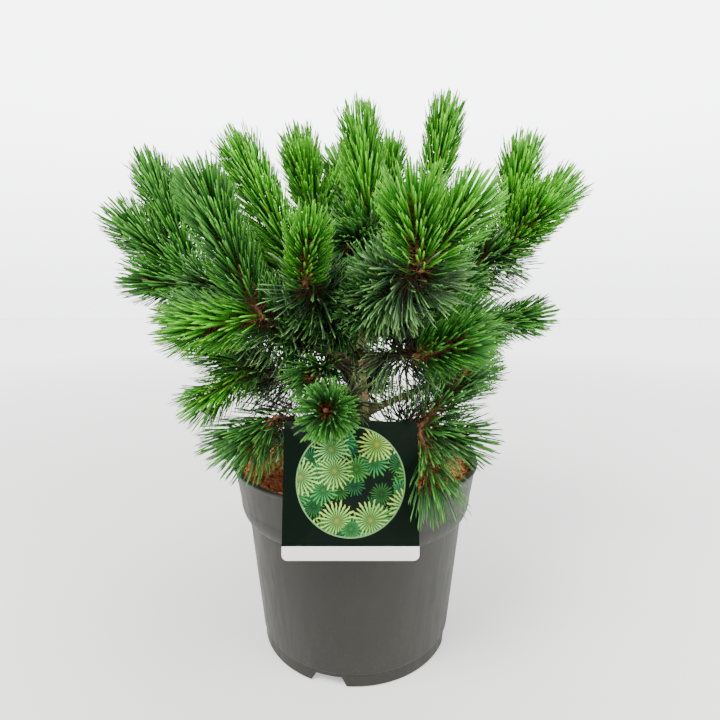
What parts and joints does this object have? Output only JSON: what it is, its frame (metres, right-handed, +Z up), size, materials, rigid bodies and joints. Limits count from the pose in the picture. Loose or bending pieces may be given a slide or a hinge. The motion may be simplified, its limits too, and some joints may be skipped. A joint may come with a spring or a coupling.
{
  "type": "potted dwarf mountain pine",
  "caption": "Young dwarf mountain pine with a broad, bushy crown of upright needle shoots, standing in a round grey nursery pot of bark mulch with a plant label at the rim.",
  "frame": {"origin": "centre of the pot's flat underside, on the surface it stands on", "axes": "+Z up, -Y towards the front with the plant label, +X to the right seen from the front"},
  "size_m": [0.4931, 0.4325, 0.5738],
  "materials": {
    "pot_plastic": "satin olive-grey polypropylene, slightly dusty",
    "bark_mulch": "rough reddish-brown bark chips",
    "label_plastic": "smooth printed plastic card",
    "pine_bark": "scaly grey-brown bark",
    "pine_foliage": "fresh green needles, darker on last year's wood"
  },
  "bodies": {
    "root": {"pot": "pot_plastic", "root_ball": "bark_mulch", "plant_label": "label_plastic", "trunk": "pine_bark", "bough_back": "pine_bark", "bough_back_left": "pine_bark", "bough_back_right": "pine_bark", "bough_front": "pine_bark", "bough_front_left": "pine_bark", "bough_front_right": "pine_bark", "bough_left": "pine_bark", "bough_low_back": "pine_bark", "bough_low_back_left": "pine_bark", "bough_low_back_right": "pine_bark", "bough_low_front": "pine_bark", "bough_low_left": "pine_bark", "bough_low_right": "pine_bark", "bough_mid_left": "pine_bark", "bough_mid_right": "pine_bark", "bough_right": "pine_bark", "bough_side_back": "pine_bark", "bough_side_back_left": "pine_bark", "bough_side_back_right": "pine_bark", "bough_side_right": "pine_bark", "bough_top_back": "pine_bark", "bough_top_front": "pine_bark", "bough_top_left": "pine_bark", "bough_top_right": "pine_bark", "bough_upper_left": "pine_bark", "foliage_back": "pine_foliage", "foliage_back_left": "pine_foliage", "foliage_back_right": "pine_foliage", "foliage_front": "pine_foliage", "foliage_front_left": "pine_foliage", "foliage_front_right": "pine_foliage", "foliage_leader": "pine_foliage", "foliage_left": "pine_foliage", "foliage_low_back": "pine_foliage", "foliage_low_back_left": "pine_foliage", "foliage_low_back_right": "pine_foliage", "foliage_low_front": "pine_foliage", "foliage_low_left": "pine_foliage", "foliage_low_right": "pine_foliage", "foliage_mid_front": "pine_foliage", "foliage_mid_left": "pine_foliage", "foliage_mid_right": "pine_foliage", "foliage_right": "pine_foliage", "foliage_side_back": "pine_foliage", "foliage_side_back_left": "pine_foliage", "foliage_side_back_right": "pine_foliage", "foliage_side_right": "pine_foliage", "foliage_top_back": "pine_foliage", "foliage_top_front": "pine_foliage", "foliage_top_left": "pine_foliage", "foliage_top_right": "pine_foliage", "foliage_upper_left": "pine_foliage"}
  },
  "joints": []
}
